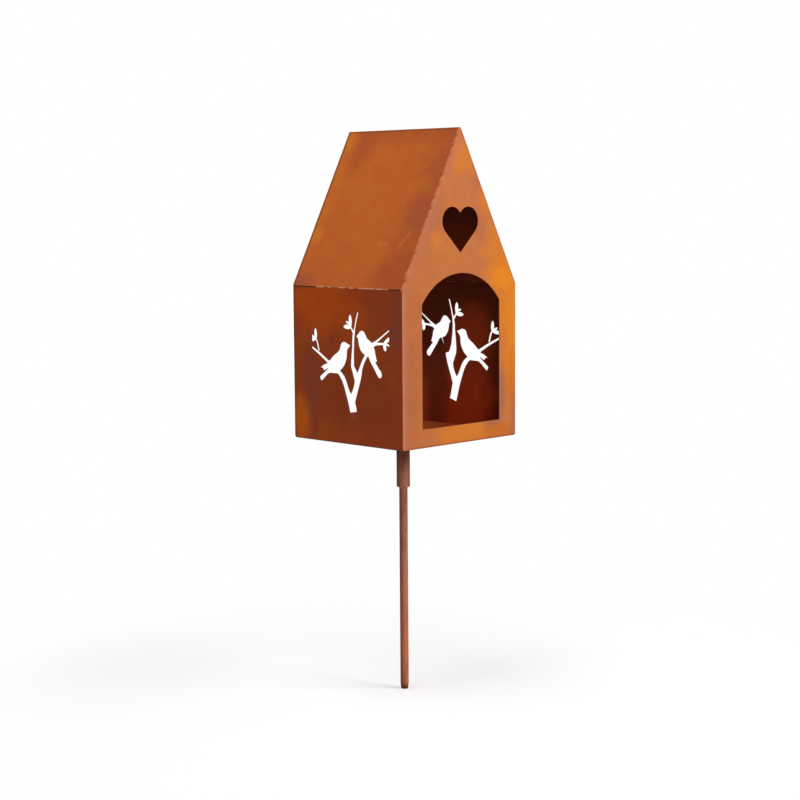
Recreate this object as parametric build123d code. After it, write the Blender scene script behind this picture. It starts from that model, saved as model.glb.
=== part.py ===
"""Rusted sheet-steel bird feeder: a steep gabled house, open front and back, on a round stake.

Millimetres, +Z up, the front faces -Y. The origin is the centre of the stake's lower end face.
"""
import math
import os

from build123d import *

# House shell, measured outside, and how far its middle stands off the stake's axis
house_width = 190.0
house_depth = 180.0
eave_height = 180.0
ridge_height = 360.0
sheet = 1.0
ridge_bend_radius = 1.6
eave_gap = 0.4
foot_round = 2.5
edge_round = 0.4
house_offset_x = 2.0
house_offset_y = -2.0

# Arched doorway, the same in the front and the back panel, a little to the right as seen from outside
jamb_width = 30.0
sill_height = 21.0
jamb_height = 141.0
arch_rise = 33.5
doorway_shift = 1.5

# Heart over the doorway, as large as its margin to the roof's slopes lets it be
heart_lift = 23.0
heart_margin = 20.5
heart_lobe_share = 0.275
heart_height_share = 0.875

# Cut-out of two birds on a forked branch, as seen from outside a side wall, as large as its margins let it be
motif_left_margin = 20.0
motif_right_margin = 10.0
motif_foot_margin = 27.0
motif_top_margin = 27.0
motif_width_to_height = 1.2
right_motif_lift = 1.7
right_motif_shift = 2.0
right_motif_rise_share = 0.036

# Floor, socket and stake
floor_lift = 4.0
stake_diameter = 10.0
stake_exposed = 246.0
stake_tip_diameter = 8.2
stake_tip_length = 6.5
stake_top_chamfer = 0.8
socket_wall = 2.7
socket_clearance = 0.3
socket_length = 65.0
socket_rim_chamfer = 0.8

# Weld beads
gable_bead_length = 15.0
gable_bead_radius = 1.4
gable_bead_pitch = 18.0
eave_bead_length = 9.0
eave_bead_radius = 0.9
eave_bead_inset = 34.0
eave_bead_count = 4
bead_height_share = 0.7
bead_taper = 40.0
tack_length = 12.0
tack_leg = 2.0
corner_tack_pitch = 60.0
floor_tack_inset = 44.0
socket_weld_leg = 3.0

# Levels and outlines that follow from the sizes above
half_width = house_width / 2
half_depth = house_depth / 2
shell_base = stake_exposed + socket_length - floor_lift
floor_under = shell_base + floor_lift
house_foot = Vector(house_offset_x, house_offset_y, shell_base)
eave_to_bend = ridge_height - ridge_bend_radius - eave_height
bend_turn = math.asin(ridge_bend_radius / math.hypot(half_width, eave_to_bend))
slope = math.atan2(eave_to_bend, half_width) + bend_turn
apex_outer = eave_height + half_width * math.tan(slope)
apex_inner = apex_outer - sheet / math.cos(slope)
roof_end_x = half_width - sheet * math.sin(slope)
roof_end_z = eave_height - sheet * math.cos(slope)
wall_top = roof_end_z - eave_gap
shoulder_x = (apex_inner - wall_top) / math.tan(slope)
ridge_inner_radius = ridge_bend_radius - sheet
heart_tip = sill_height + jamb_height + arch_rise + heart_lift
lobe_x_share = 0.5 - heart_lobe_share
lobe_z_share = heart_height_share - heart_lobe_share
heart_room = (apex_inner - heart_tip) * math.cos(slope) - heart_margin
lobe_reach_share = lobe_z_share * math.cos(slope) + lobe_x_share * math.sin(slope) + heart_lobe_share
heart_width = heart_room / lobe_reach_share
motif_room_x = house_depth - motif_left_margin - motif_right_margin
motif_room_z = wall_top - motif_foot_margin - motif_top_margin
motif_width = min(motif_room_x, motif_room_z * motif_width_to_height)
motif_height = motif_width / motif_width_to_height
motif_left = motif_left_margin + (motif_room_x - motif_width) / 2
motif_foot = motif_foot_margin + (motif_room_z - motif_height) / 2
socket_bore_radius = stake_diameter / 2 + socket_clearance
socket_radius = socket_bore_radius + socket_wall


def corners_at(sketch, height):
    """Corner points of a sketch at one height above the walls' lower edge."""
    return [v for v in sketch.vertices() if math.isclose(v.Y, height, abs_tol=sheet / 10)]


def heart():
    """Heart cut-out: two lobes and straight sides to the tip, with its tip at the sketch origin."""
    lobe_radius = heart_lobe_share * heart_width
    lobe_x = lobe_x_share * heart_width
    lobe_z = lobe_z_share * heart_width
    reach = math.hypot(lobe_x, lobe_z)
    side = math.atan2(lobe_z, lobe_x) - math.asin(lobe_radius / reach)
    side_length = math.sqrt(reach**2 - lobe_radius**2)
    side_x = side_length * math.cos(side)
    side_z = side_length * math.sin(side)
    body = make_face(Polyline(
        (0, 0), (side_x, side_z), (lobe_x, lobe_z), (-lobe_x, lobe_z), (-side_x, side_z), (0, 0)))
    lobes = [Pos(x, lobe_z) * Circle(lobe_radius) for x in (-lobe_x, lobe_x)]
    return body + lobes


def doorway():
    """Doorway cut-out: straight jambs under a flat arch, drawn about its own middle."""
    door_x = half_width - jamb_width
    spring = sill_height + jamb_height
    return make_face([
        Polyline((-door_x, spring), (-door_x, sill_height), (door_x, sill_height), (door_x, spring)),
        ThreePointArc((door_x, spring), (0, spring + arch_rise), (-door_x, spring)),
    ])


def gable_panel():
    """Gabled end sheet, standing in its own plane with its outer face at zero, to be turned upright."""
    outline = make_face(Polyline(
        (-half_width, 0), (half_width, 0), (half_width, wall_top), (shoulder_x, wall_top), (0, apex_inner),
        (-shoulder_x, wall_top), (-half_width, wall_top), (-half_width, 0)))
    outline = fillet(corners_at(outline, apex_inner), ridge_inner_radius)
    outline = fillet(corners_at(outline, 0), foot_round)
    outline -= Pos(doorway_shift, 0) * doorway() + Pos(0, heart_tip) * heart()
    panel = extrude(outline, -sheet)
    outer_edges = panel.edges().filter_by(Axis.Y).filter_by(lambda e: abs(e.center().X) > half_width - sheet)
    outer_edges = outer_edges.filter_by(lambda e: e.center().Z > -sheet / 2)
    return fillet(outer_edges, edge_round)


def motif_point(x_share, z_share):
    """Point of the cut-out, from shares of its width and height."""
    return Vector(motif_left + x_share * motif_width, motif_foot + z_share * motif_height)


def ribbon(*stations):
    """Tapering branch: a smooth strip through stations of x share, z share and width share."""
    centres = [motif_point(x_share, z_share) for x_share, z_share, _ in stations]
    left, right = [], []
    for i, centre in enumerate(centres):
        along = (centres[min(i + 1, len(centres) - 1)] - centres[max(i - 1, 0)]).normalized()
        across = Vector(-along.Y, along.X) * (stations[i][2] * motif_width / 2)
        left.append(centre + across)
        right.append(centre - across)
    edges = [Spline(*left), Line(left[-1], right[-1]), Spline(*reversed(right)), Line(right[0], left[0])]
    return make_face(edges)


def leaf(base_shares, tip_shares, width_share):
    """Oval leaf from its base to its tip."""
    base, tip = motif_point(*base_shares), motif_point(*tip_shares)
    span = tip - base
    turn = math.degrees(math.atan2(span.Y, span.X))
    middle = (base + tip) / 2
    oval = Ellipse(span.length / 2, width_share * motif_width / 2)
    return Pos(middle.X, middle.Y) * Rot(0, 0, turn) * oval


def outline_of(*stretches):
    """Closed outline: stretches of three or more points are smooth, and straight lines join them."""
    runs = [[motif_point(*shares) for shares in stretch] for stretch in stretches]
    edges = []
    for run, following in zip(runs, runs[1:] + runs[:1]):
        if len(run) > 2:
            edges.append(Spline(*run))
        elif len(run) == 2:
            edges.append(Line(*run))
        edges.append(Line(run[-1], following[0]))
    return make_face(edges)


def lower_bird():
    """Larger bird, facing right on the left branch."""
    beak_shares = [(0.509, 0.696)]
    back_shares = [(0.483, 0.706), (0.453, 0.722), (0.425, 0.722), (0.400, 0.700), (0.390, 0.664),
                   (0.367, 0.628), (0.328, 0.598), (0.289, 0.560), (0.247, 0.514)]
    wing_tip_shares = [(0.207, 0.498), (0.172, 0.474), (0.199, 0.464), (0.201, 0.448), (0.217, 0.448)]
    tail_shares = [(0.255, 0.468), (0.250, 0.461)]
    tail_end_shares = [(0.167, 0.390), (0.162, 0.380), (0.172, 0.350), (0.182, 0.348)]
    belly_shares = [(0.207, 0.368), (0.250, 0.412), (0.273, 0.426), (0.307, 0.428), (0.347, 0.428),
                    (0.380, 0.424)]
    breast_shares = [(0.390, 0.456), (0.420, 0.484), (0.443, 0.516), (0.460, 0.556), (0.469, 0.600),
                     (0.471, 0.640), (0.482, 0.666)]
    wing_corners = [[shares] for shares in wing_tip_shares]
    tail_corners = [[shares] for shares in tail_end_shares]
    return outline_of(
        beak_shares, back_shares, *wing_corners, tail_shares, *tail_corners, belly_shares, breast_shares)


def upper_bird():
    """Smaller bird, facing left on the right branch."""
    beak_shares = [(0.571, 0.784)]
    back_shares = [(0.592, 0.805), (0.607, 0.824), (0.637, 0.837), (0.660, 0.826), (0.677, 0.800),
                   (0.690, 0.774), (0.720, 0.750), (0.743, 0.730)]
    wing_shares = [(0.762, 0.692), (0.775, 0.664), (0.780, 0.632), (0.790, 0.592), (0.797, 0.570)]
    notch_shares = [(0.779, 0.558)]
    tail_end_shares = [(0.827, 0.492), (0.845, 0.464), (0.844, 0.432), (0.830, 0.421), (0.805, 0.426)]
    belly_shares = [(0.777, 0.470), (0.747, 0.520), (0.717, 0.568), (0.700, 0.602), (0.677, 0.616)]
    breast_shares = [(0.657, 0.622), (0.627, 0.644), (0.603, 0.688), (0.593, 0.732), (0.588, 0.764)]
    return outline_of(
        beak_shares, back_shares, wing_shares, notch_shares, tail_end_shares, belly_shares, breast_shares)


def sprig(stalk, upright, side, bud):
    """Stalk with an upright leaf, a side leaf and a bud."""
    return ribbon(*stalk) + [leaf(*upright), leaf(*side), leaf(*bud)]


def tree(branch_cut_through):
    """Forked branch with its twigs and leaves; one wall keeps a bridge of sheet across the right branch."""
    trunk = ribbon((0.551, 0.016, 0.077), (0.531, 0.104, 0.079), (0.512, 0.180, 0.077), (0.475, 0.257, 0.052),
                   (0.445, 0.340, 0.045), (0.417, 0.396, 0.045), (0.387, 0.432, 0.038), (0.353, 0.460, 0.040))
    fork = ribbon((0.520, 0.168, 0.067), (0.549, 0.264, 0.060), (0.569, 0.322, 0.057), (0.581, 0.376, 0.065),
                  (0.601, 0.432, 0.055), (0.615, 0.476, 0.041))
    stem = ribbon((0.580, 0.368, 0.047), (0.559, 0.428, 0.052), (0.545, 0.469, 0.047), (0.530, 0.504, 0.039),
                  (0.529, 0.536, 0.037), (0.531, 0.600, 0.031), (0.537, 0.696, 0.025), (0.541, 0.776, 0.027),
                  (0.554, 0.848, 0.018), (0.563, 0.892, 0.017), (0.576, 0.948, 0.017), (0.591, 1.002, 0.015))
    if branch_cut_through:
        branch = ribbon((0.609, 0.456, 0.044), (0.627, 0.512, 0.036), (0.648, 0.560, 0.033),
                        (0.672, 0.602, 0.032), (0.690, 0.632, 0.033))
    else:
        spike = ribbon((0.683, 0.640, 0.016), (0.666, 0.596, 0.011), (0.650, 0.550, 0.006))
        swell = ribbon((0.586, 0.400, 0.058), (0.564, 0.456, 0.078), (0.548, 0.504, 0.075),
                       (0.542, 0.552, 0.062), (0.540, 0.600, 0.052), (0.539, 0.648, 0.042),
                       (0.540, 0.704, 0.031), (0.541, 0.760, 0.028))
        branch = spike + swell
    left_twig = ribbon((0.287, 0.512, 0.033), (0.257, 0.530, 0.027), (0.197, 0.574, 0.023),
                       (0.137, 0.615, 0.020), (0.079, 0.651, 0.017), (0.020, 0.688, 0.015))
    upper_twig = ribbon((0.740, 0.712, 0.033), (0.787, 0.746, 0.020), (0.840, 0.787, 0.015),
                        (0.900, 0.835, 0.012), (0.945, 0.867, 0.010))
    left_stalk_shares = [(0.155, 0.624, 0.018), (0.146, 0.664, 0.019), (0.138, 0.696, 0.019),
                         (0.125, 0.728, 0.017)]
    left_sprig = sprig(left_stalk_shares, [(0.120, 0.724), (0.115, 0.834), 0.037],
                       [(0.127, 0.734), (0.033, 0.722), 0.033], [(0.107, 0.744), (0.063, 0.770), 0.019])
    middle_stalk_shares = [(0.540, 0.812, 0.020), (0.525, 0.844, 0.019), (0.513, 0.864, 0.017)]
    middle_sprig = sprig(middle_stalk_shares, [(0.510, 0.860), (0.505, 0.978), 0.040],
                         [(0.520, 0.864), (0.431, 0.864), 0.035], [(0.507, 0.888), (0.457, 0.914), 0.019])
    right_stalk_shares = [(0.753, 0.708, 0.030), (0.783, 0.724, 0.023), (0.820, 0.729, 0.018),
                          (0.873, 0.734, 0.017)]
    right_sprig = sprig(right_stalk_shares, [(0.865, 0.730), (0.940, 0.792), 0.032],
                        [(0.870, 0.734), (0.887, 0.666), 0.039], [(0.883, 0.732), (0.930, 0.717), 0.018])
    return trunk + [fork, stem, left_twig, upper_twig] + branch + left_sprig + middle_sprig + right_sprig


def side_wall(motif):
    """Side sheet between the two gable panels, as seen from outside, with its outer face at zero."""
    length = house_depth - 2 * sheet
    outline = Pos(half_depth, wall_top / 2) * Rectangle(length, wall_top)
    outline = fillet(corners_at(outline, 0), foot_round)
    return extrude(outline - motif, -sheet)


def roof_sheet():
    """One sheet folded along the ridge, its slopes resting on the gable panels."""
    section = make_face(Polyline(
        (-half_width, eave_height), (-roof_end_x, roof_end_z), (0, apex_inner), (roof_end_x, roof_end_z),
        (half_width, eave_height), (0, apex_outer), (-half_width, eave_height)))
    section = fillet(corners_at(section, apex_inner), ridge_inner_radius)
    section = fillet(corners_at(section, apex_outer), ridge_bend_radius)
    return upright_front(extrude(section, -house_depth))


def upright_front(piece):
    """Stands a piece drawn in the front panel's plane upright at the front of the house."""
    return Plane(house_foot - (0, half_depth, 0), x_dir=(1, 0, 0), z_dir=(0, -1, 0)) * piece


def upright_back(piece):
    """The same at the back of the house."""
    return Plane(house_foot + (0, half_depth, 0), x_dir=(-1, 0, 0), z_dir=(0, 1, 0)) * piece


def upright_left(piece):
    """Stands a piece drawn in a side wall's plane upright at the left side."""
    return Plane(house_foot + (-half_width, half_depth, 0), x_dir=(0, -1, 0), z_dir=(-1, 0, 0)) * piece


def upright_right(piece):
    """The same at the right side."""
    return Plane(house_foot + (half_width, -half_depth, 0), x_dir=(0, 1, 0), z_dir=(1, 0, 0)) * piece


def floor_plate():
    """Flat floor between the four walls, a little above their lower edges."""
    align = (Align.CENTER, Align.CENTER, Align.MIN)
    plate = Box(house_width - 2 * sheet, house_depth - 2 * sheet, sheet, align=align)
    return Pos(house_offset_x, house_offset_y, floor_under) * plate


def socket_tube():
    """Tube under the floor that takes the stake, with its lower rim broken."""
    bore = socket_bore_radius
    section = make_face(Polyline(
        (bore, 0), (socket_radius, 0), (socket_radius, socket_length), (bore, socket_length), (bore, 0)))
    rim = [v for v in corners_at(section, 0) if v.X > bore + socket_wall / 2]
    section = chamfer(rim, min(socket_rim_chamfer, socket_wall / 2))
    return Pos(0, 0, stake_exposed) * revolve(Plane.XZ * section, Axis.Z)


def stake_rod():
    """Round bar with a tapered lower end, pushed up the socket against the floor."""
    radius = stake_diameter / 2
    top = floor_under
    section = make_face(Polyline(
        (0, 0), (stake_tip_diameter / 2, 0), (radius, stake_tip_length), (radius, top - stake_top_chamfer),
        (radius - stake_top_chamfer, top), (0, top), (0, 0)))
    return revolve(Plane.XZ * section, Axis.Z)


def socket_weld():
    """Fillet weld round the socket's upper end, under the floor."""
    inner, outer = socket_radius, socket_radius + socket_weld_leg
    section = make_face(Polyline((inner, -socket_weld_leg), (outer, 0), (inner, 0), (inner, -socket_weld_leg)))
    return Pos(0, 0, floor_under) * revolve(Plane.XZ * section, Axis.Z)


def bead(length, radius):
    """Weld bead that lies on a face along X, pointed at its ends and narrowing upwards."""
    tip, shoulder = length / 2, length / 2 - radius
    outline = make_face(Polyline(
        (-tip, 0), (-shoulder, -radius), (shoulder, -radius), (tip, 0), (shoulder, radius), (-shoulder, radius),
        (-tip, 0)))
    return extrude(outline, radius * bead_height_share, taper=bead_taper)


def tack(length, leg):
    """Corner weld along X, of three-sided section, against the faces towards +Y and +Z."""
    section = make_face(Polyline((0, 0), (leg, 0), (0, leg), (0, 0)))
    return extrude(Plane.YZ * section, length / 2, both=True)


def row_places(span, length, pitch):
    """Centres of evenly pitched beads that fit along a span, about its middle."""
    count = max(1, 1 + int((span - length) / pitch))
    return [(i - (count - 1) / 2) * pitch for i in range(count)]


def gable_welds(side, upright):
    """Beads over the seam of the roof's edge and the gable panel, up one slope."""
    run = Vector(-side * math.cos(slope), math.sin(slope))
    foot = Vector(side * roof_end_x, roof_end_z)
    span = (half_width - ridge_bend_radius) / math.cos(slope)
    one = bead(gable_bead_length, gable_bead_radius)
    beads = []
    for along in row_places(span, gable_bead_length, gable_bead_pitch):
        seam = foot + run * (span / 2 + along)
        beads.append(upright(Plane((seam.X, seam.Y, 0), x_dir=(run.X, run.Y, 0), z_dir=(0, 0, 1)) * one))
    return Compound(children=beads)


def eave_welds(upright):
    """Beads along the seam of a side wall's top edge and the roof's lower edge."""
    one = bead(eave_bead_length, eave_bead_radius)
    pitch = (house_depth - 2 * eave_bead_inset) / (eave_bead_count - 1)
    places = [eave_bead_inset + i * pitch for i in range(eave_bead_count)]
    return Compound(children=[upright(Pos(along, wall_top) * one) for along in places])


def corner_welds(side_x, side_y):
    """Tacks inside an upright corner of the house."""
    inward_x, inward_y = Vector(-side_x, 0, 0), Vector(0, -side_y, 0)
    one = tack(tack_length, tack_leg)
    floor_top = floor_lift + sheet
    corner_x, corner_y = side_x * (half_width - sheet), side_y * (half_depth - sheet)
    middle = house_foot + (corner_x, corner_y, (floor_top + wall_top) / 2)
    tacks = []
    for along in row_places(wall_top - floor_top, tack_length, corner_tack_pitch):
        place = Plane(middle + (0, 0, along), x_dir=inward_x.cross(inward_y), z_dir=inward_y)
        tacks.append(place * one)
    return Compound(children=tacks)


def floor_welds(side_x):
    """Two tacks under the floor along one side wall."""
    inward, down = Vector(-side_x, 0, 0), Vector(0, 0, -1)
    one = tack(tack_length, tack_leg)
    middle = house_foot + (side_x * (half_width - sheet), 0, floor_lift)
    tacks = []
    for along in (floor_tack_inset - half_depth, half_depth - floor_tack_inset):
        place = Plane(middle + (0, along, 0), x_dir=inward.cross(down), z_dir=down)
        tacks.append(place * one)
    return Compound(children=tacks)


motif = tree(branch_cut_through=True) + lower_bird() + upper_bird()
bridged_motif = tree(branch_cut_through=False) + lower_bird() + upper_bird()
right_motif = bridged_motif.transform_geometry(Matrix([
    [1, 0, 0, -right_motif_shift],
    [right_motif_rise_share, 1, 0, right_motif_lift],
    [0, 0, 1, 0],
    [0, 0, 0, 1],
]))

parts = {
    "front_panel": upright_front(gable_panel()),
    "back_panel": upright_back(gable_panel()),
    "left_wall": upright_left(side_wall(motif)),
    "right_wall": upright_right(side_wall(right_motif)),
    "roof_sheet": roof_sheet(),
    "floor_plate": floor_plate(),
    "socket_tube": socket_tube(),
    "socket_weld": socket_weld(),
    "stake_rod": stake_rod(),
    "front_left_gable_weld": gable_welds(-1, upright_front),
    "front_right_gable_weld": gable_welds(1, upright_front),
    "back_left_gable_weld": gable_welds(1, upright_back),
    "back_right_gable_weld": gable_welds(-1, upright_back),
    "left_eave_weld": eave_welds(upright_left),
    "right_eave_weld": eave_welds(upright_right),
    "front_left_corner_weld": corner_welds(-1, -1),
    "front_right_corner_weld": corner_welds(1, -1),
    "back_left_corner_weld": corner_welds(-1, 1),
    "back_right_corner_weld": corner_welds(1, 1),
    "left_floor_weld": floor_welds(-1),
    "right_floor_weld": floor_welds(1),
}

os.makedirs("parts", exist_ok=True)
for name, shape in parts.items():
    export_step(shape, f"parts/{name}.step")
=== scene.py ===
"""Looks of the rusted bird feeder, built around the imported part. Metres, +Z up, the front faces -Y."""
import math
import random

import bmesh
import bpy
from mathutils import Matrix, Vector, noise


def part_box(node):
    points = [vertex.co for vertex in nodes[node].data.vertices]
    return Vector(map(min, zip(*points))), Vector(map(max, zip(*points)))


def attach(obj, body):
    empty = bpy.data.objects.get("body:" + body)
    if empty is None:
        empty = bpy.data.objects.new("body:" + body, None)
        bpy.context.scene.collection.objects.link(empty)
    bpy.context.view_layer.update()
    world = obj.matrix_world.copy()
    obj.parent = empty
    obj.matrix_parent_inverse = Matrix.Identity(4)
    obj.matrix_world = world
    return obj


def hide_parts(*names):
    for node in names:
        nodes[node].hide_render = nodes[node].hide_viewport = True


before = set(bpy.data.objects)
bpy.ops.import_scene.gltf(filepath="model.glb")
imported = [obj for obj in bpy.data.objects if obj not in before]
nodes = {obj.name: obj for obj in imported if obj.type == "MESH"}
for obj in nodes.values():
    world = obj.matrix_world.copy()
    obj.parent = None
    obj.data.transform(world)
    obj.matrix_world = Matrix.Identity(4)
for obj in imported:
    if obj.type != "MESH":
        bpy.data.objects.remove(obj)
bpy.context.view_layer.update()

# Where the house stands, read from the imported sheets; its heights are from its foot
roof_low, roof_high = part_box("roof_sheet")
wall_low, wall_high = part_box("left_wall")
house_foot = Vector(((roof_low.x + roof_high.x) / 2, (roof_low.y + roof_high.y) / 2, wall_low.z))
half_width = (roof_high.x - roof_low.x) / 2
half_depth = (roof_high.y - roof_low.y) / 2
depth = 2 * half_depth
wall_top = wall_high.z - house_foot.z
eave = roof_low.z - house_foot.z
ridge = roof_high.z - house_foot.z
slope = math.atan2(ridge - eave, half_width)
slope_length = math.hypot(half_width, ridge - eave)
sheet = wall_high.x - wall_low.x

# Sides of the house, axes and the directions that its sheets face
left_side = -1
right_side = 1
front_side = -1
back_side = 1
x_axis = 0
y_axis = 1
facing_left = Vector((-1.0, 0.0, 0.0))
facing_right = Vector((1.0, 0.0, 0.0))
facing_front = Vector((0.0, -1.0, 0.0))
facing_back = Vector((0.0, 1.0, 0.0))
facing_up = Vector((0.0, 0.0, 1.0))
facing_down = Vector((0.0, 0.0, -1.0))

# Camera, fitted to the photograph's corners of the house; angles in degrees, lens and sensor in millimetres
camera_azimuth = -45.2
camera_elevation = 6.47
camera_roll = -0.39
camera_distance = 2.101
camera_lens = 80.0
sensor_width = 36.0
aim_offset = Vector((-0.0087, 0.0, 0.0436))

# Lamps: place from the house's middle, side length and power
key_lamp = (Vector((0.75, -1.45, 0.75)), 1.0, 21.0)
top_lamp = (Vector((-0.6, 0.1, 1.5)), 1.2, 10.0)

# Background and stage floor
white = (1.0, 1.0, 1.0, 1.0)
backdrop_level = 1.0
sky_level = 0.36
floor_grey = (0.8, 0.8, 0.8, 1.0)
floor_glow = 0.37
floor_radius = 1.2
floor_corners = 96
floor_fade_range = (0.25, 0.6)

# Weld beads: how finely they are drawn and how their thickness ripples
bead_step = 0.0006
bead_sides = 10
fewest_bead_steps = 6
bead_tip_share = 0.02
ripple_share = 0.22
ripple_scale = 420.0

# Drops of the gable seams: places and half lengths are shares of the pitch, sizes are shares of the swell
drop_pitch = 0.0125
first_drop_shares = (0.3, 0.6)
drop_half_shares = (0.36, 0.58)
drop_size_shares = (0.6, 1.0)
drop_step_shares = (0.75, 1.25)
gable_flat_share = 0.5

# Gable seams: thinnest radius, swell at a drop and overrun past the eave
lumpy_seam = (0.0008, 0.0019, 0.002)
faint_seam = (0.0005, 0.0002, 0.0)
plain_seam = (0.0005, 0.0004, 0.0)
front_left_lumps = ((0.020, 0.007, 1.45),)

# Eave beads: a dash has its middle and its length along the eave from the back; the dashes are pale bare
# metal with a painted glint
eave_bead_radius = 0.0006
eave_bead_inset = 0.3 * sheet
eave_bead_end = 0.003
dash_swell = 0.0001
dash_width = 0.0020
dash_strength = 1.0
slit_width = 0.0022
left_dashes = ((0.047, 0.011), (0.0615, 0.002), (0.083, 0.010), (0.0985, 0.006), (0.1235, 0.024),
               (0.1445, 0.009), (0.1555, 0.002))
right_dashes = ((0.0775, 0.013), (0.114, 0.006))

# Tacks inside the corners and under the floor, and the ring round the socket
tack_radius = 0.0013
tack_length = 0.012
half_tack = tack_length / 2
tack_inset = 1.6 * sheet
socket_weld_radius = 0.0020
socket_weld_drop = 1.8 * sheet
socket_weld_steps = 120
socket_weld_swing = 0.35
socket_weld_scale = 4.0

# Colour sockets of the Mix node
mix_share = 0
mix_first = 6
mix_second = 7
mix_result = 2

# Rust texture: noise scales per metre and seeds, shares of tone and relief, and the shader's own values
noise_middle = 0.5
grain_scale = 700.0
mottle_scale = 90.0
hue_scale = 45.0
wander_scale = 26.0
ground_scale = 14.0
ground_seed_step = 1.0
grain_seed_step = 5.0
mottle_seed_step = 6.0
hue_seed_step = 7.0
grain_tone_share = 0.10
mottle_tone_share = 0.22
lowest_tone = 0.84
hue_swing = 0.016
lowest_hue = 0.492
mottle_relief_share = 0.6
grain_relief_share = 0.4
relief_strength = 0.25
relief_depth = 0.0006
smoothest = 0.66
roughest = 0.92
rust_specular = 0.12

# Rust of the sheets: where one colour gives way to the next
wander_swing = 1.5
ground_range = (0.34, 0.66)
patch_range = (1.25, 0.35)
patch_through = 0.02
line_core_share = 0.2
inner_wander = 0.03
# The inside blends from its first colour above to its second below; by default this darkens it to painted
# shade towards the top
inner_heights = (0.19, 0.02)
inside_facing_range = (-0.2, -0.4)
outside_facing_range = (0.2, 0.4)

# Rust of the stake and socket: heights are from the house's foot, the tip's is from the stake's end
streak_scale = 160.0
streak_squash = Vector((1.0, 1.0, 0.18))
streak_range = (0.45, 0.75)
bar_low_heights = (-0.09, -0.25)
# Painted shadow of the house on the socket's top, between these heights
bar_shade_heights = (-0.048, -0.004)
# Painted shade round the stake: a direction towards the lamp; faces turned away from it, and those turned
# furthest to it, are darkened
bar_lit_direction = (0.7, -0.7, 0.0)
bar_right_shade_range = (0.5, 1.1)
bar_right_shade_strength = 0.5
bar_left_shade_range = (0.1, -1.0)
bar_left_shade_strength = 0.75
bar_tip_height = 0.010

# Rust colours, linear
tan = (0.64, 0.195, 0.050)
pink_tan = (0.60, 0.180, 0.062)
orange = (0.80, 0.225, 0.012)
bright_orange = (0.86, 0.26, 0.012)
dull_tan = (0.52, 0.150, 0.045)
dull_pink = (0.52, 0.155, 0.072)
deep_orange = (0.64, 0.165, 0.014)
grey_purple = (0.44, 0.15, 0.09)
# Painted highlight along an edge
edge_highlight = (0.72, 0.27, 0.13)
edge_pink = (0.59, 0.195, 0.098)
# Dark edges; along the feet and at the ends of the eave slit it is painted shade
edge_dark = (0.22, 0.06, 0.022)
cut_edge = (0.24, 0.068, 0.028)
roof_brown = (0.68, 0.148, 0.026)
roof_light = (0.70, 0.165, 0.026)
roof_red = (0.54, 0.112, 0.026)
roof_purple = (0.46, 0.098, 0.055)
roof_orange = (0.82, 0.22, 0.018)
scratch_tan = (0.85, 0.28, 0.08)
# The side walls' browns are partly their own dark rust and partly painted shade
wall_brown = (0.41, 0.064, 0.009)
wall_deep = (0.35, 0.054, 0.010)
wall_dim = (0.30, 0.048, 0.010)
wall_orange = (0.55, 0.082, 0.003)
wall_band = (0.62, 0.112, 0.004)
wall_purple = (0.27, 0.056, 0.028)
inner_red = (0.60, 0.085, 0.016)
# Painted shade inside the house, darkest under the roof
inner_painted_shade = (0.13, 0.024, 0.004)
# Painted light and shade inside the house: a lit pool, shade on the roof's inside, shade, and a lit corner
inner_painted_light = (0.80, 0.12, 0.022)
roof_inner_painted_shade = (0.22, 0.030, 0.002)
inner_shade = (0.21, 0.046, 0.020)
inner_corner_light = (0.62, 0.12, 0.045)
sill_brown = (0.46, 0.130, 0.055)
# The floor's top: partly its rust, partly painted light falling in through the arches
floor_red_and_light = (0.88, 0.21, 0.050)
# Weld colour, brightened as painted light on the gable beads' faces turned away from the front
weld_tan_and_light = (0.90, 0.31, 0.14)
# Pale bare metal with a painted glint, for the left eave's dashes
weld_pale_and_glint = (0.92, 0.42, 0.28)
# Painted shadow in the eave slit
slit_shadow = (0.11, 0.024, 0.005)
# Dull bare metal with a painted glint, for the right eave's dashes
slit_glint_grey = (0.50, 0.45, 0.40)
bar_purple = (0.55, 0.225, 0.155)
bar_brown = (0.63, 0.190, 0.086)
# Dark rust of the streaks; on the faces turned furthest to the light it is painted shade
bar_dark = (0.30, 0.10, 0.055)
# Painted shade on the stake up high, also the painted shadow on the socket's top
bar_shade = (0.13, 0.045, 0.022)
# Painted shade on the stake lower down
bar_low_shade = (0.14, 0.042, 0.008)
bar_tip = (0.07, 0.018, 0.006)


def add_camera():
    azimuth = math.radians(camera_azimuth)
    elevation = math.radians(camera_elevation)
    roll = math.radians(camera_roll)
    across = math.cos(elevation)
    back = Vector((math.sin(azimuth) * across, -math.cos(azimuth) * across, math.sin(elevation)))
    level = Vector((math.cos(azimuth), math.sin(azimuth), 0.0))
    upward = back.cross(level)
    right = math.cos(roll) * level + math.sin(roll) * upward
    up = math.cos(roll) * upward - math.sin(roll) * level
    turn = Matrix((right, up, back)).transposed().to_4x4()
    data = bpy.data.cameras.new("camera")
    data.lens = camera_lens
    data.sensor_width = sensor_width
    camera = bpy.data.objects.new("camera", data)
    camera.matrix_world = Matrix.Translation(house_foot + aim_offset + back * camera_distance) @ turn
    bpy.context.scene.collection.objects.link(camera)
    bpy.context.scene.camera = camera


def add_lamp(name, lamp):
    """Square lamp that shines on the middle of the house."""
    place, size, power = lamp
    data = bpy.data.lights.new(name, "AREA")
    data.size = size
    data.energy = power
    lamp_object = bpy.data.objects.new(name, data)
    middle = house_foot + facing_up * (ridge / 2)
    lamp_object.location = middle + place
    lamp_object.rotation_euler = (-place).to_track_quat("-Z", "Y").to_euler()
    bpy.context.scene.collection.objects.link(lamp_object)


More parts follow.
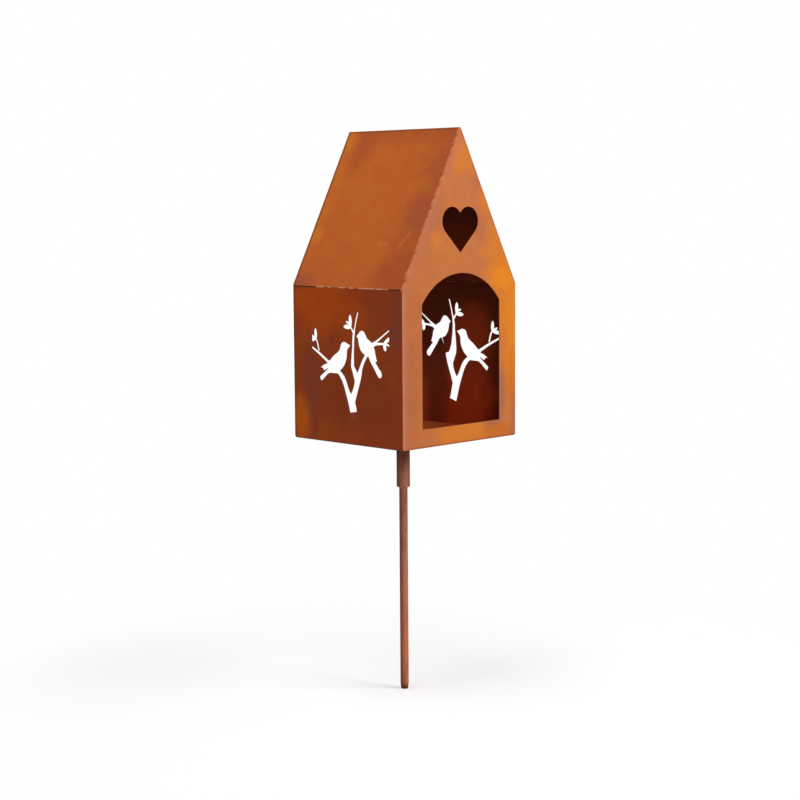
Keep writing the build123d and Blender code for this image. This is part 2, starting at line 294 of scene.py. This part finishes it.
def add(tree, kind, inputs=None, **settings):
    """New shader node; an input given as a socket is linked, any other value is set."""
    node = tree.nodes.new("ShaderNode" + kind)
    for key, value in settings.items():
        setattr(node, key, value)
    for key, value in (inputs or {}).items():
        if isinstance(value, bpy.types.NodeSocket):
            tree.links.new(value, node.inputs[key])
        else:
            node.inputs[key].default_value = value
    return node


def math_of(tree, operation, first, second):
    """Number worked out from two numbers."""
    return add(tree, "Math", {0: first, 1: second}, operation=operation).outputs[0]


def vector_of(tree, operation, first, second):
    """Vector worked out from two vectors."""
    return add(tree, "VectorMath", {0: first, 1: second}, operation=operation).outputs["Vector"]


def measure_of(tree, operation, first, second=(0.0, 0.0, 0.0)):
    """Number worked out from one or two vectors, such as a length."""
    return add(tree, "VectorMath", {0: first, 1: second}, operation=operation).outputs["Value"]


def weighted_sum(tree, first, first_share, second, second_share):
    """Sum of two numbers, each times its share."""
    first_part = math_of(tree, "MULTIPLY", first, first_share)
    second_part = math_of(tree, "MULTIPLY", second, second_share)
    return math_of(tree, "ADD", first_part, second_part)


def smooth(tree, value, low, high):
    """0 below low and 1 above high, smooth between; low may be the larger of the two."""
    inputs = {"Value": value, "From Min": low, "From Max": high}
    return add(tree, "MapRange", inputs, interpolation_type="SMOOTHSTEP").outputs["Result"]


def with_alpha(color):
    """Plain colour made opaque; a socket stays as it is."""
    return color if isinstance(color, bpy.types.NodeSocket) else (*color, 1.0)


def mix(tree, share, first, second):
    """Colour between two colours."""
    inputs = {mix_share: share, mix_first: with_alpha(first), mix_second: with_alpha(second)}
    return add(tree, "Mix", inputs, data_type="RGBA").outputs[mix_result]


def cloud(tree, coords, scale, seed, detail=3.0, roughness=0.55):
    """Noise from 0 to 1."""
    inputs = {"Vector": coords, "W": seed, "Scale": scale, "Detail": detail, "Roughness": roughness}
    return add(tree, "TexNoise", inputs, noise_dimensions="4D").outputs["Fac"]


def patch(tree, coords, wander, centre, radii):
    """1 in the middle of an ellipsoid and 0 outside it, with a wandering edge."""
    reach = vector_of(tree, "DIVIDE", vector_of(tree, "SUBTRACT", coords, centre), radii)
    distance = measure_of(tree, "LENGTH", reach)
    return smooth(tree, math_of(tree, "ADD", distance, wander), *patch_range)


def line(tree, coords, start, end, width):
    """1 on the straight line between two points and 0 at its width from it."""
    span = end - start
    offset = vector_of(tree, "SUBTRACT", coords, start)
    along = measure_of(tree, "DOT_PRODUCT", offset, span / span.length_squared)
    share = add(tree, "Math", {0: along, 1: 0.0}, operation="ADD", use_clamp=True).outputs[0]
    nearest = add(tree, "VectorMath", {0: span, "Scale": share}, operation="SCALE").outputs["Vector"]
    distance = measure_of(tree, "DISTANCE", offset, nearest)
    return smooth(tree, distance, width, line_core_share * width)


def paint_patches(tree, coords, wander, color, patches):
    """Colour with patches over it, each with its centre, radii, tint and strength."""
    for centre, radii, tint, strength in patches:
        mask = patch(tree, coords, wander, Vector(centre), Vector(radii))
        color = mix(tree, math_of(tree, "MULTIPLY", mask, strength), color, tint)
    return color


def paint_lines(tree, coords, color, lines):
    """Colour with straight lines over it, each with its ends, width, tint and strength."""
    for start, end, width, tint, strength in lines:
        mask = line(tree, coords, Vector(start), Vector(end), width)
        color = mix(tree, math_of(tree, "MULTIPLY", mask, strength), color, tint)
    return color


def new_material(name):
    material = bpy.data.materials.new(name)
    material.use_nodes = True
    material.node_tree.nodes.clear()
    return material, material.node_tree


def house_coords(tree):
    """Coordinates from the middle of the house's foot, and the face's direction."""
    texture = add(tree, "TexCoord")
    return vector_of(tree, "SUBTRACT", texture.outputs["Object"], house_foot), texture.outputs["Normal"]


def height_of(tree, coords):
    return add(tree, "SeparateXYZ", {0: coords}).outputs["Z"]


def finish_rust(material, tree, coords, color, seed):
    """Fine mottling, grain, roughness and the shader."""
    grain = cloud(tree, coords, grain_scale, seed + grain_seed_step, detail=2.0, roughness=0.6)
    mottle = cloud(tree, coords, mottle_scale, seed + mottle_seed_step, detail=4.0, roughness=0.6)
    tone = weighted_sum(tree, grain, grain_tone_share, mottle, mottle_tone_share)
    tone = math_of(tree, "ADD", tone, lowest_tone)
    hue = cloud(tree, coords, hue_scale, seed + hue_seed_step)
    hue = math_of(tree, "MULTIPLY", hue, hue_swing)
    hue = math_of(tree, "ADD", hue, lowest_hue)
    color = add(tree, "HueSaturation", {"Hue": hue, "Value": tone, "Color": color}).outputs["Color"]
    rough_inputs = {"Value": mottle, "To Min": smoothest, "To Max": roughest}
    roughness = add(tree, "MapRange", rough_inputs).outputs["Result"]
    relief = weighted_sum(tree, mottle, mottle_relief_share, grain, grain_relief_share)
    bump = add(tree, "Bump", {"Height": relief, "Strength": relief_strength, "Distance": relief_depth})
    shader = add(tree, "BsdfPrincipled", {
        "Base Color": color,
        "Roughness": roughness,
        "Specular IOR Level": rust_specular,
        "Normal": bump.outputs["Normal"],
    })
    add(tree, "OutputMaterial", {"Surface": shader.outputs[0]})
    return material


def sheet_rust(name, outward, base, light, seed, patches=(), lines=(),
               inner=(inner_painted_shade, inner_red), edge=cut_edge, inner_patches=()):
    """Rusted sheet: patches and lines on two ground colours outside, other colours inside and on edges; by
    default the inside darkens to painted shade towards the top.
    """
    material, tree = new_material(name)
    coords, normal = house_coords(tree)
    wander = cloud(tree, coords, wander_scale, seed)
    wander = math_of(tree, "SUBTRACT", wander, noise_middle)
    wander = math_of(tree, "MULTIPLY", wander, wander_swing)
    ground = cloud(tree, coords, ground_scale, seed + ground_seed_step)
    ground = smooth(tree, ground, *ground_range)
    outside = mix(tree, ground, base, light)
    outside = paint_patches(tree, coords, wander, outside, patches)
    outside = paint_lines(tree, coords, outside, lines)
    facing = measure_of(tree, "DOT_PRODUCT", normal, outward)
    height = height_of(tree, coords)
    lift = math_of(tree, "ADD", height, math_of(tree, "MULTIPLY", wander, inner_wander))
    inside = mix(tree, smooth(tree, lift, *inner_heights), *inner)
    inside = paint_patches(tree, coords, wander, inside, inner_patches)
    color = mix(tree, smooth(tree, facing, *inside_facing_range), edge, inside)
    color = mix(tree, smooth(tree, facing, *outside_facing_range), color, outside)
    return finish_rust(material, tree, coords, color, seed)


def bar_rust(name, seed):
    """Rusted bar and tube in long streaks: purple-brown above, orange-brown below, dark at the tip, with
    painted shade on the faces turned away from the light and on those turned furthest to it, and a painted
    shadow of the house on the socket's top.
    """
    material, tree = new_material(name)
    coords, normal = house_coords(tree)
    height = height_of(tree, coords)
    streaks = cloud(tree, vector_of(tree, "MULTIPLY", coords, streak_squash), streak_scale, seed)
    low_down = smooth(tree, height, *bar_low_heights)
    color = mix(tree, low_down, bar_purple, bar_brown)
    color = mix(tree, smooth(tree, streaks, *streak_range), color, bar_dark)
    # Painted shadow of the house on the socket's top
    color = mix(tree, smooth(tree, height, *bar_shade_heights), color, bar_shade)
    # Painted shade: faces turned away from the lit direction, and those turned furthest to it, are darkened
    turned = measure_of(tree, "DOT_PRODUCT", normal, bar_lit_direction)
    right = math_of(tree, "MULTIPLY", smooth(tree, turned, *bar_right_shade_range), bar_right_shade_strength)
    color = mix(tree, right, color, bar_dark)
    shade = mix(tree, low_down, bar_shade, bar_low_shade)
    left = math_of(tree, "MULTIPLY", smooth(tree, turned, *bar_left_shade_range), bar_left_shade_strength)
    color = mix(tree, left, color, shade)
    tip = smooth(tree, height, bar_tip_height - house_foot.z, -house_foot.z)
    color = mix(tree, tip, color, bar_tip)
    return finish_rust(material, tree, coords, color, seed)


def seen_rays(tree):
    """1 for what the camera sees, straight or by gloss or glass, and 0 for light on its way."""
    path = add(tree, "LightPath").outputs
    seen = math_of(tree, "MAXIMUM", path["Is Camera Ray"], path["Is Transmission Ray"])
    return math_of(tree, "MAXIMUM", seen, path["Is Glossy Ray"])


def set_world():
    """White to the camera and through openings, a plain grey sky as light."""
    world = bpy.data.worlds.new("world")
    world.use_nodes = True
    tree = world.node_tree
    tree.nodes.clear()
    backdrop = add(tree, "Background", {"Color": white, "Strength": backdrop_level})
    sky = add(tree, "Background", {"Color": white, "Strength": sky_level})
    mixed = add(tree, "MixShader", {0: seen_rays(tree), 1: sky.outputs[0], 2: backdrop.outputs[0]})
    add(tree, "OutputWorld", {"Surface": mixed.outputs[0]})
    bpy.context.scene.world = world


def add_floor():
    """Pale round floor that takes the object's shadow and fades into the white at its rim."""
    bpy.ops.mesh.primitive_circle_add(vertices=floor_corners, radius=floor_radius, fill_type="NGON")
    floor = bpy.context.object
    floor.name = "stage_floor"
    material, tree = new_material("pale_floor")
    coords = add(tree, "TexCoord").outputs["Object"]
    distance = measure_of(tree, "LENGTH", coords)
    matte = add(tree, "BsdfDiffuse", {"Color": floor_grey})
    strength = math_of(tree, "MULTIPLY", seen_rays(tree), floor_glow)
    glow = add(tree, "Emission", {"Color": white, "Strength": strength})
    lit = add(tree, "AddShader", {0: matte.outputs[0], 1: glow.outputs[0]})
    clear = add(tree, "BsdfTransparent")
    fade = smooth(tree, distance, *floor_fade_range)
    mixed = add(tree, "MixShader", {0: fade, 1: lit.outputs[0], 2: clear.outputs[0]})
    add(tree, "OutputMaterial", {"Surface": mixed.outputs[0]})
    floor.data.materials.append(material)


def on_front(across, up):
    """Point of the front panel from its distance to the right of the middle, and its height."""
    return (across, -half_depth, up)


def on_left(along, up):
    """Point of the left wall from its distance from the back, and its height."""
    return (-half_width, half_depth - along, up)


def on_right(behind, up):
    """Point of the right wall from its distance behind the middle, and its height."""
    return (half_width, behind, up)


def on_roof(along, up):
    """Point of the left roof slope from its distance from the back, and up the slope."""
    return (up * math.cos(slope) - half_width, half_depth - along, eave + up * math.sin(slope))


def on_ridge(along):
    """Point of the ridge from its distance from the back."""
    return (0.0, half_depth - along, ridge)


# Patches have a centre, radii, a tint and a strength; lines have two ends, a width, a tint and a strength
front_patches = [
    (on_front(0.084, 0.180), (0.044, patch_through, 0.130), orange, 0.8),
    (on_front(0.042, 0.282), (0.014, patch_through, 0.036), orange, 0.7),
    (on_front(0.018, 0.326), (0.010, patch_through, 0.022), orange, 0.5),
    (on_front(0.004, 0.012), (0.052, patch_through, 0.028), orange, 0.65),
    (on_front(-0.084, 0.070), (0.020, patch_through, 0.080), dull_tan, 0.6),
    (on_front(-0.076, 0.160), (0.022, patch_through, 0.030), dull_tan, 0.4),
    (on_front(-0.094, 0.036), (0.012, patch_through, 0.034), dull_pink, 0.5),
    (on_front(-0.044, 0.262), (0.018, patch_through, 0.034), dull_pink, 0.6),
    (on_front(0.034, 0.250), (0.014, patch_through, 0.024), dull_pink, 0.6),
    (on_front(0.070, 0.187), (0.026, patch_through, 0.017), bright_orange, 0.9),
    (on_front(-0.002, 0.326), (0.014, patch_through, 0.022), bright_orange, 0.45),
    (on_front(-0.040, 0.236), (0.012, patch_through, 0.013), bright_orange, 0.4),
    (on_front(0.086, 0.120), (0.011, patch_through, 0.080), bright_orange, 0.6),
    (on_front(0.088, 0.056), (0.012, patch_through, 0.050), deep_orange, 0.6),
    (on_front(0.029, 0.298), (0.010, patch_through, 0.010), grey_purple, 0.4),
    (on_front(0.067, 0.050), (0.011, patch_through, 0.045), grey_purple, 0.85),
    (on_front(0.054, 0.020), (0.016, patch_through, 0.010), grey_purple, 0.8),
    (on_front(0.070, 0.008), (0.034, patch_through, 0.012), deep_orange, 0.8),
    (on_front(0.096, 0.012), (0.012, patch_through, 0.044), grey_purple, 0.85),
]
front_lines = [
    # Painted shade along the foot
    (on_front(-half_width, 0.0), on_front(half_width, 0.0), 0.003, edge_dark, 0.6),
    (on_front(-half_width, eave), on_front(0.0, ridge), 0.016, edge_pink, 0.6),
    # Painted highlight along the front's left upright edge
    (on_front(-half_width, 0.0), on_front(-half_width, wall_top), 0.013, edge_pink, 0.7),
    (on_front(-half_width, 0.0), on_front(-half_width, wall_top), 0.005, edge_highlight, 0.5),
]
roof_patches = [
    (on_roof(0.004, 0.120), (0.05, 0.016, 0.20), roof_orange, 0.35),
    (on_roof(0.012, 0.192), (0.03, 0.014, 0.018), roof_orange, 0.7),
    (on_roof(0.008, 0.065), (0.03, 0.010, 0.010), roof_orange, 0.8),
    (on_roof(0.034, 0.175), (0.03, 0.024, 0.034), roof_red, 0.6),
    (on_roof(0.178, 0.100), (0.09, 0.036, 0.16), roof_red, 0.6),
    (on_roof(0.168, 0.094), (0.03, 0.022, 0.034), roof_purple, 0.5),
    (on_roof(0.176, 0.160), (0.03, 0.020, 0.050), roof_purple, 0.4),
    (on_roof(0.164, 0.018), (0.04, 0.046, 0.046), roof_red, 0.95),
    (on_roof(0.010, 0.006), (0.03, 0.022, 0.012), roof_purple, 0.7),
]
roof_lines = [
    (on_roof(0.1495, 0.0505), on_roof(0.162, 0.071), 0.0022, scratch_tan, 0.5),
    (on_roof(0.118, 0.055), on_roof(0.132, 0.056), 0.0026, scratch_tan, 0.4),
    (on_ridge(depth), on_ridge(0.03), 0.030, roof_red, 0.7),
    (on_ridge(depth), on_ridge(0.0), 0.005, edge_dark, 0.6),
    (on_roof(0.0, 0.0), on_roof(0.0, slope_length), 0.005, edge_dark, 0.75),
]
# Painted shade on the roof's inside where it shows through the heart
roof_inner_shade_patches = [
    ((0.073, -0.032, 0.212), (0.05, 0.045, 0.048), roof_inner_painted_shade, 0.95),
]
left_patches = [
    (on_left(0.045, 0.165), (patch_through, 0.065, 0.045), wall_orange, 0.85),
    (on_left(0.085, 0.150), (patch_through, 0.040, 0.040), wall_orange, 0.5),
    (on_left(0.028, 0.058), (patch_through, 0.016, 0.060), wall_purple, 0.8),
    (on_left(0.008, 0.026), (patch_through, 0.020, 0.040), wall_band, 0.95),
    (on_left(0.171, 0.145), (patch_through, 0.012, 0.036), wall_purple, 0.8),
    (on_left(0.150, 0.020), (patch_through, 0.050, 0.030), wall_deep, 0.7),
    (on_left(0.115, 0.055), (patch_through, 0.085, 0.045), wall_dim, 0.7),
]
left_lines = [
    # Painted shade along the foot
    (on_left(0.0, 0.0), on_left(depth, 0.0), 0.003, edge_dark, 0.8),
    (on_left(0.0, 0.0), on_left(0.0, wall_top), 0.006, edge_dark, 0.6),
    # Painted shadow of the eave slit at its two ends
    (on_left(0.0, wall_top), on_left(0.038, wall_top), slit_width, edge_dark, 0.7),
    (on_left(0.162, wall_top), on_left(0.178, wall_top), slit_width, edge_dark, 0.7),
]
# Pale bare metal with a painted glint along the middle of the left eave's slit
left_slit_glint_lines = [
    (on_left(0.041, wall_top), on_left(0.157, wall_top), dash_width, dull_pink, 0.8),
]
# Painted light and shade inside the right wall: a lit pool in the middle, shade at the back and along the
# front, a lit back corner
right_inner_light_and_shade = [
    (on_right(-0.018, 0.124), (patch_through, 0.044, 0.032), inner_painted_light, 0.35),
    (on_right(0.042, 0.080), (patch_through, 0.028, 0.200), inner_shade, 0.9),
    (on_right(0.066, 0.026), (patch_through, 0.018, 0.050), inner_corner_light, 0.5),
    (on_right(-0.082, 0.080), (patch_through, 0.036, 0.500), inner_painted_shade, 0.95),
    (on_right(-0.074, 0.030), (patch_through, 0.036, 0.080), inner_painted_shade, 0.85),
    (on_right(0.046, 0.145), (patch_through, 0.036, 0.060), inner_painted_shade, 0.8),
]


def mirror(point, axis):
    """The same point on the other side of the house."""
    turned = list(point)
    turned[axis] = -turned[axis]
    return tuple(turned)


def mirrored(patches, axis):
    return [(mirror(centre, axis), *rest) for centre, *rest in patches]


def mirrored_lines(lines, axis):
    return [(mirror(start, axis), mirror(end, axis), *rest) for start, end, *rest in lines]


def dash_lines(side_x, dashes, tint):
    """Lines for the dashes of an eave's bead, pale bare metal with a painted glint."""
    lines = []
    for at, length in dashes:
        start = (side_x * half_width, half_depth - at - length / 2, wall_top)
        end = (side_x * half_width, half_depth - at + length / 2, wall_top)
        lines.append((start, end, dash_width, tint, dash_strength))
    return lines


def ring_at(centre, side, rise, radius):
    """Ring of points about a bead's middle line, in two directions across it."""
    turns = [2 * math.pi * i / bead_sides for i in range(bead_sides)]
    return [centre + radius * (math.cos(turn) * side + math.sin(turn) * rise) for turn in turns]


def straight_bead(start, end, side, rise, radius_at):
    """Bead along a straight seam, as rings of points; its ends are rounded off."""
    span = end - start
    count = max(fewest_bead_steps, round(span.length / bead_step))
    rings = []
    for i in range(count + 1):
        along = span.length * i / count
        radius = radius_at(along)
        to_end = min(1.0, min(along, span.length - along) / radius + bead_tip_share)
        radius *= math.sqrt(1.0 - (1.0 - to_end) ** 2)
        rings.append(ring_at(start + span * (i / count), side, rise, radius))
    return rings


def add_welds(name, beads, node, look, closed=False):
    """One piece of several beads, each a list of rings, that stands for a weld node."""
    vertices, faces = [], []
    for rings in beads:
        first, count = len(vertices), len(rings)
        vertices.extend(point for ring in rings for point in ring)
        for i in range(count if closed else count - 1):
            here, there = first + i * bead_sides, first + (i + 1) % count * bead_sides
            for j in range(bead_sides):
                k = (j + 1) % bead_sides
                faces.append((here + j, here + k, there + k, there + j))
        if not closed:
            faces.append(tuple(range(first, first + bead_sides)))
            faces.append(tuple(range(first + (count - 1) * bead_sides, first + count * bead_sides)))
    mesh = bpy.data.meshes.new(name)
    mesh.from_pydata(vertices, [], faces)
    shell = bmesh.new()
    shell.from_mesh(mesh)
    bmesh.ops.recalc_face_normals(shell, faces=shell.faces)
    shell.to_mesh(mesh)
    shell.free()
    mesh.shade_smooth()
    mesh.materials.append(look)
    piece = bpy.data.objects.new(name, mesh)
    bpy.context.scene.collection.objects.link(piece)
    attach(piece, "root")
    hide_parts(node)


def ripple(along, seed):
    """Uneven thickness of a bead, about 1."""
    return 1.0 + ripple_share * noise.noise(Vector((along * ripple_scale, seed, 0.0)))


def drops(length, seed):
    """Places, half lengths and sizes of the drops of a bead, unevenly pitched."""
    draw = random.Random(seed)
    found = []
    at = drop_pitch * draw.uniform(*first_drop_shares)
    while at < length:
        half = drop_pitch * draw.uniform(*drop_half_shares)
        size = draw.uniform(*drop_size_shares)
        found.append((at, half, size))
        at += drop_pitch * draw.uniform(*drop_step_shares)
    return found


def add_gable_welds(name, side_x, side_y, seam, seed, lumps=()):
    """Seam of drops over the edge of a roof slope and the gable panel under it."""
    thin, swell, overrun = seam
    normal = Vector((side_x * math.sin(slope), 0.0, math.cos(slope)))
    foot = house_foot + Vector((side_x * half_width, side_y * half_depth, eave)) - normal * sheet / 2
    top = house_foot + Vector((0.0, side_y * half_depth, ridge)) - normal * sheet / 2
    foot -= (top - foot).normalized() * overrun
    found = drops((top - foot).length, seed) + list(lumps)

    def radius_at(along):
        sizes = [size * math.sqrt(max(0.0, 1.0 - ((along - at) / half) ** 2)) for at, half, size in found]
        return (thin + swell * max(sizes)) * ripple(along, seed)

    flat = Vector((0.0, side_y, 0.0)) * gable_flat_share
    rings = straight_bead(foot, top, normal, flat, radius_at)
    add_welds(name + "_drops", [rings], name, weld_look)


def add_eave_welds(name, side_x, dashes, look, seed):
    """Thin bead in the slit between a side wall and the roof, a little thicker at its dashes."""
    outward = Vector((side_x, 0.0, 0.0))
    inset = Vector((side_x * (half_width - eave_bead_inset), 0.0, wall_top + eave_bead_inset))
    middle = house_foot + inset
    reach = Vector((0.0, half_depth - eave_bead_end, 0.0))

    def radius_at(along):
        on_dash = any(abs(along + eave_bead_end - at) < length / 2 for at, length in dashes)
        return (eave_bead_radius + (dash_swell if on_dash else 0.0)) * ripple(along, seed)

    rings = straight_bead(middle + reach, middle - reach, outward, facing_up, radius_at)
    add_welds(name + "_bead", [rings], name, look)


def tack(start, end, side, rise, shift, seed):
    """Short bead between two points; the shift gives it a ripple of its own."""

    def radius_at(along):
        return tack_radius * ripple(along + shift, seed)

    return straight_bead(start, end, side, rise, radius_at)


def add_corner_welds(name, side_x, side_y, seed):
    """Drops inside an upright corner, where the part's own tacks are."""
    low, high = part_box(name)
    x = house_foot.x + side_x * (half_width - tack_inset)
    y = house_foot.y + side_y * (half_depth - tack_inset)
    inward = Vector((-side_x, 0.0, 0.0))
    along_wall = Vector((0.0, -side_y, 0.0))
    beads = []
    for middle in (low.z + half_tack, (low.z + high.z) / 2, high.z - half_tack):
        foot = Vector((x, y, middle - half_tack))
        top = Vector((x, y, middle + half_tack))
        beads.append(tack(foot, top, inward, along_wall, middle, seed))
    add_welds(name + "_drops", beads, name, inner_weld_look)


def add_floor_welds(name, side_x, seed):
    """Drops under the floor along a side wall, where the part's own tacks are."""
    low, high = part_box(name)
    level = high.z - sheet
    x = house_foot.x + side_x * (half_width - tack_inset)
    inward = Vector((-side_x, 0.0, 0.0))
    beads = []
    for middle in (low.y + half_tack, high.y - half_tack):
        back = Vector((x, middle + half_tack, level))
        front = Vector((x, middle - half_tack, level))
        beads.append(tack(back, front, inward, facing_down, middle, seed))
    add_welds(name + "_drops", beads, name, inner_weld_look)


def add_socket_weld(name, seed):
    """Uneven ring of weld round the socket's upper end."""
    tube_low, tube_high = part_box("socket_tube")
    tube_radius = (tube_high.x - tube_low.x) / 2
    floor_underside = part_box("floor_plate")[0].z
    level = facing_up * (floor_underside - socket_weld_drop)
    rings = []
    for i in range(socket_weld_steps):
        turn = 2 * math.pi * i / socket_weld_steps
        outward = Vector((math.cos(turn), math.sin(turn), 0.0))
        swell = noise.noise(outward * socket_weld_scale + facing_up * seed)
        radius = socket_weld_radius * (1.0 + socket_weld_swing * swell)
        rings.append(ring_at(outward * tube_radius + level, outward, facing_up, radius))
    add_welds(name + "_ring", [rings], name, inner_weld_look, closed=True)


add_camera()
set_world()
add_lamp("key", key_lamp)
add_lamp("top", top_lamp)
add_floor()

looks = {
    "front_panel": sheet_rust(
        "front_rust", facing_front, tan, pink_tan, seed=1.0,
        patches=front_patches, lines=front_lines),
    "back_panel": sheet_rust(
        "back_rust", facing_back, tan, pink_tan, seed=11.0,
        patches=mirrored(mirrored(front_patches, y_axis), x_axis),
        lines=mirrored_lines(mirrored_lines(front_lines, y_axis), x_axis),
        inner=(roof_red, sill_brown)),
    # Side walls: partly their own dark rust and partly painted shade
    "left_wall": sheet_rust(
        "left_rust", facing_left, wall_brown, wall_deep, seed=21.0,
        patches=left_patches, lines=left_lines),
    "right_wall": sheet_rust(
        "right_rust", facing_right, wall_brown, wall_deep, seed=31.0,
        patches=mirrored(left_patches, x_axis), lines=mirrored_lines(left_lines, x_axis),
        inner_patches=right_inner_light_and_shade),
    "roof_sheet": sheet_rust(
        "roof_rust", facing_up, roof_brown, roof_light, seed=41.0,
        patches=roof_patches + mirrored(roof_patches, x_axis), lines=roof_lines,
        edge=tan, inner_patches=roof_inner_shade_patches),
    # The floor's top is partly its rust and partly painted light
    "floor_plate": sheet_rust(
        "floor_rust", facing_down, wall_brown, wall_deep, seed=51.0,
        inner=(floor_red_and_light, floor_red_and_light)),
}
bar_look = bar_rust("bar_rust", seed=61.0)
# Gable beads: the faces turned away from the front are brightened as painted light
weld_look = sheet_rust(
    "weld_rust", facing_front, edge_pink, tan, seed=71.0,
    inner=(weld_tan_and_light, weld_tan_and_light), edge=weld_tan_and_light)
inner_weld_look = sheet_rust("inner_weld_rust", facing_front, wall_brown, wall_deep, seed=81.0)
# The left eave's bead is painted dark as the slit's shadow; its dashes are pale bare metal with a painted
# glint
left_eave_look = sheet_rust(
    "left_eave_rust", facing_left, slit_shadow, slit_shadow, seed=91.0,
    lines=left_slit_glint_lines + dash_lines(left_side, left_dashes, weld_pale_and_glint))
# The right eave's bead is seen from inside the house, so its painted side faces left; it is painted shade,
# with dashes of dull bare metal and a painted glint
right_eave_look = sheet_rust(
    "right_eave_rust", facing_left, inner_painted_shade, inner_painted_shade, seed=101.0,
    lines=dash_lines(right_side, right_dashes, slit_glint_grey))
for name, node in nodes.items():
    node.data.materials.clear()
    node.data.materials.append(looks.get(name, bar_look))

add_gable_welds("front_left_gable_weld", left_side, front_side, lumpy_seam, seed=3, lumps=front_left_lumps)
add_gable_welds("front_right_gable_weld", right_side, front_side, faint_seam, seed=4)
add_gable_welds("back_left_gable_weld", left_side, back_side, plain_seam, seed=5)
add_gable_welds("back_right_gable_weld", right_side, back_side, plain_seam, seed=6)
add_eave_welds("left_eave_weld", left_side, left_dashes, left_eave_look, seed=7)
add_eave_welds("right_eave_weld", right_side, right_dashes, right_eave_look, seed=8)
add_corner_welds("front_left_corner_weld", left_side, front_side, seed=9)
add_corner_welds("front_right_corner_weld", right_side, front_side, seed=10)
add_corner_welds("back_left_corner_weld", left_side, back_side, seed=11)
add_corner_welds("back_right_corner_weld", right_side, back_side, seed=12)
add_floor_welds("left_floor_weld", left_side, seed=13)
add_floor_welds("right_floor_weld", right_side, seed=14)
add_socket_weld("socket_weld", seed=15)

bpy.context.scene.view_settings.view_transform = "Standard"
